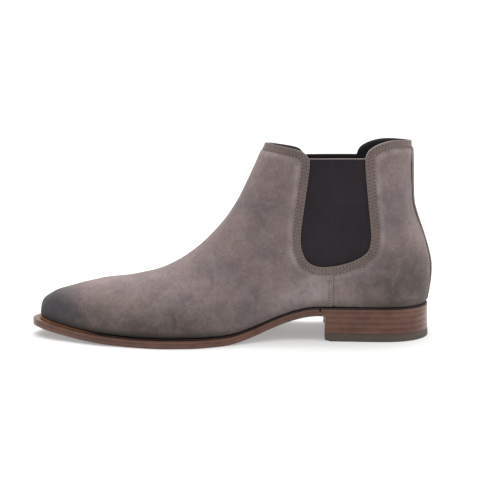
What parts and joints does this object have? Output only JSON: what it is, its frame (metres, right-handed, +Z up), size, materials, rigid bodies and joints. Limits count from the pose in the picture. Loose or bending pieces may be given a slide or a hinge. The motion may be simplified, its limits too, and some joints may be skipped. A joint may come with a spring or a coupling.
{
  "type": "chelsea boot",
  "caption": "Right ankle boot with elastic side gores, a one-piece vamp, back quarters, welted leather sole and a stacked heel.",
  "frame": {"origin": "on the ground under the middle of the boot's length and width", "axes": "-X towards the toe, +X towards the heel, -Y towards the inner (medial) side of this right boot, +Z up"},
  "size_m": [0.3168, 0.107, 0.154],
  "materials": {
    "upper_suede": "matte burnished nubuck, mottled grey taupe, darker towards the toe, heel and feather line",
    "gore_elastic": "ribbed elastic webbing, near black aubergine",
    "stiffener": "matte fibre sheet",
    "topline_tape": "matte woven tape",
    "lining_leather": "smooth satin black leather",
    "sock_leather": "smooth satin black leather",
    "insole_board": "matte leather fibre board",
    "cork": "matte ground cork",
    "shank_steel": "satin",
    "black_edge": "satin black edge ink",
    "sole_leather": "burnished, waxed brown edge",
    "top_piece_rubber": "matte dark grey brown",
    "nail_steel": "satin",
    "pin_brass": "satin"
  },
  "bodies": {
    "root": {"vamp": "upper_suede", "quarter_medial": "upper_suede", "quarter_lateral": "upper_suede", "back_stay": "upper_suede", "gore_medial": "gore_elastic", "gore_lateral": "gore_elastic", "toe_puff": "stiffener", "heel_counter": "stiffener", "back_topline_tape": "topline_tape", "vamp_lining": "lining_leather", "quarter_lining_medial": "lining_leather", "quarter_lining_lateral": "lining_leather", "insole_sock": "sock_leather", "insole_board": "insole_board", "cork_filler": "cork", "shank": "shank_steel", "shank_rivet_1": "shank_steel", "shank_rivet_2": "shank_steel", "rand": "black_edge", "welt": "sole_leather", "heel_rand": "sole_leather", "outsole": "sole_leather", "heel_lift_1": "sole_leather", "heel_lift_2": "sole_leather", "heel_lift_3": "sole_leather", "top_piece": "top_piece_rubber", "heel_nail_1": "nail_steel", "heel_nail_2": "nail_steel", "heel_nail_3": "nail_steel", "heel_nail_4": "nail_steel", "heel_screw": "nail_steel", "top_piece_pin_1": "pin_brass", "top_piece_pin_2": "pin_brass", "top_piece_pin_3": "pin_brass", "top_piece_pin_4": "pin_brass", "top_piece_pin_5": "pin_brass", "top_piece_pin_6": "pin_brass", "top_piece_pin_7": "pin_brass"},
    "front_shaft": {"front_shaft_lining": "lining_leather", "front_topline_tape": "topline_tape"}
  },
  "joints": [
    {"name": "collar_opening", "type": "hinge", "parent": "root", "child": "front_shaft", "pos_m": [0.018, 0.002, 0.078], "axis": [0, -1, 0], "range_deg": [0, 12], "stiffness_Nm_per_rad": 4, "deforming": ["vamp", "vamp_lining", "gore_medial", "gore_lateral"]}
  ]
}
